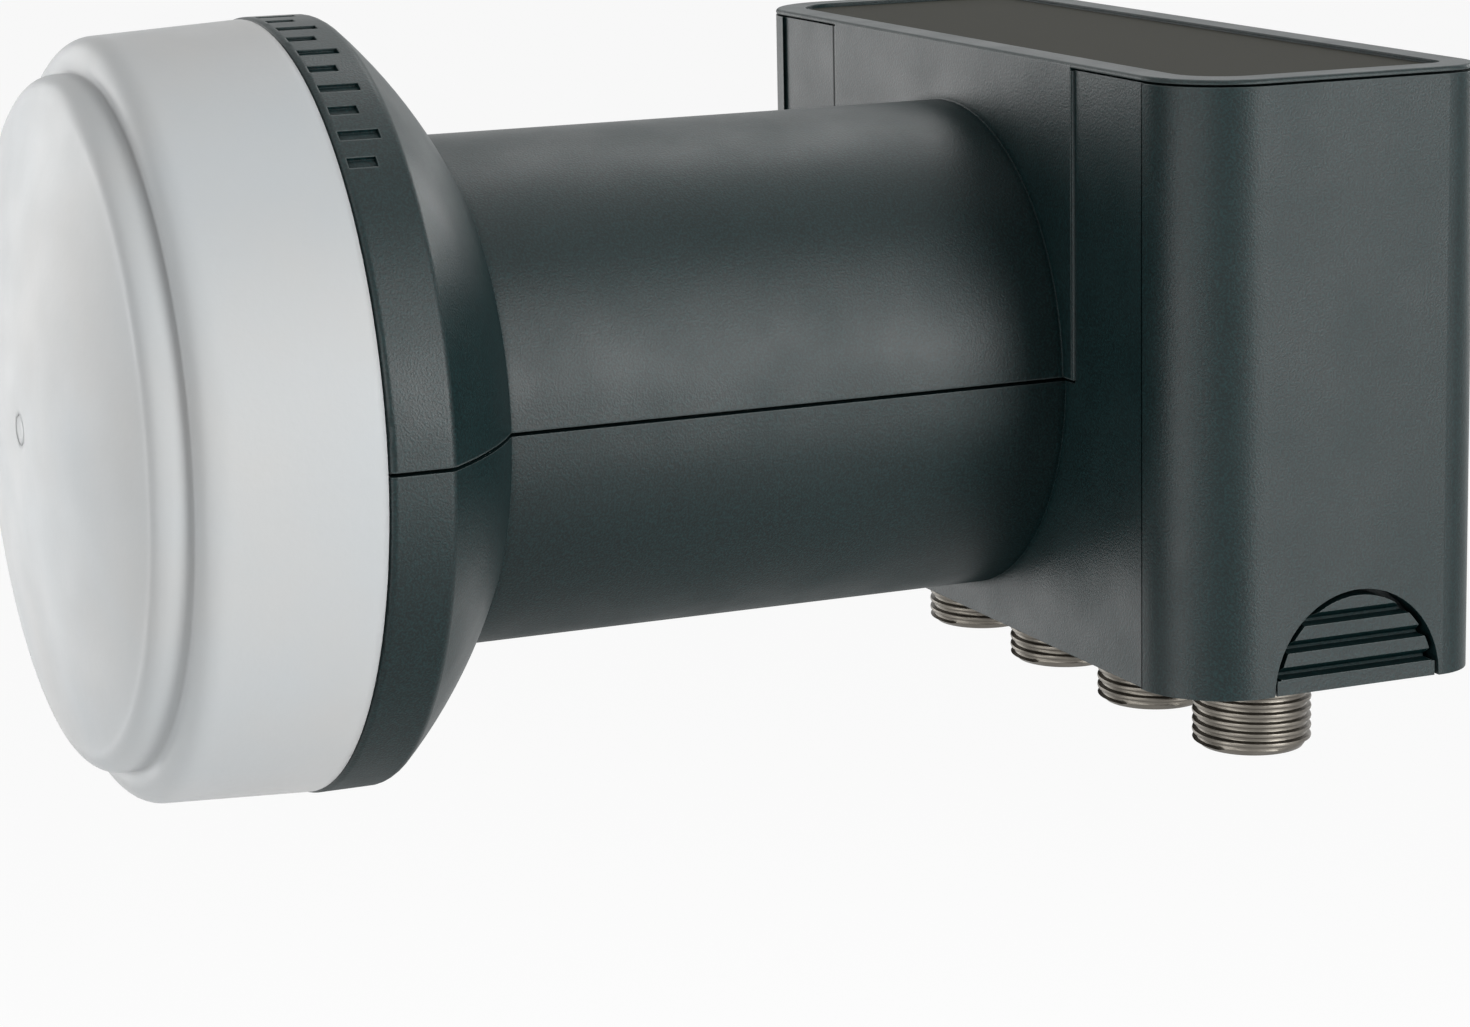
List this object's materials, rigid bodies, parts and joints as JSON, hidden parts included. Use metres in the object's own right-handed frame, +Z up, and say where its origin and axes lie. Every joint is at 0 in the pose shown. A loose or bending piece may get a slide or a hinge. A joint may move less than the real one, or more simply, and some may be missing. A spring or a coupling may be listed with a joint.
{
  "type": "satellite lnb",
  "caption": "Satellite LNB with a round feed neck, a domed feed cap, threaded F outputs and a weather sleeve that slides down over them.",
  "frame": {"origin": "on the feed axis, in the middle of the round neck that the dish's clamp holds", "axes": "-Y is the way the feed looks, +Z is up, and the F outputs point along -Z"},
  "size_m": [0.0786, 0.1045, 0.0603],
  "materials": {
    "shell_plastic": "fine grained satin",
    "sleeve_plastic": "fine grained satin",
    "cap_plastic": "satin, slightly translucent",
    "casting_metal": "as cast",
    "output_plating": "bright nickel plate",
    "contact_metal": "plated",
    "insulator_plastic": "natural",
    "seal_rubber": "matt",
    "board_laminate": "solder resist",
    "chip_plastic": "moulded",
    "tinned_steel": "tinned",
    "lid_metal": "rolled",
    "screw_steel": "zinc plated"
  },
  "bodies": {
    "housing": {"upper_shell": "shell_plastic", "lower_shell": "shell_plastic", "feed_cap": "cap_plastic", "cap_seal": "seal_rubber", "feed_casting": "casting_metal", "horizontal_probe": "contact_metal", "vertical_probe": "contact_metal", "probe_bushes": "insulator_plastic", "circuit_board": "board_laminate", "shield_cover": "tinned_steel", "switch_chip": "chip_plastic", "crystal": "tinned_steel", "regulators": "chip_plastic", "supply_chokes": "chip_plastic", "chip_capacitors": "insulator_plastic", "lid_gasket": "seal_rubber", "rear_lid": "lid_metal", "lid_screws": "screw_steel", "output_seals": "seal_rubber", "output_insulators": "insulator_plastic", "output_contacts": "contact_metal", "f_output_1": "output_plating", "f_output_2": "output_plating", "f_output_3": "output_plating", "f_output_4": "output_plating"},
    "sleeve": {"weather_sleeve": "sleeve_plastic"}
  },
  "joints": [
    {"name": "sleeve_slide", "type": "slide", "parent": "housing", "child": "sleeve", "axis": [0, 0, -1], "range_m": [0, 0.026]}
  ]
}
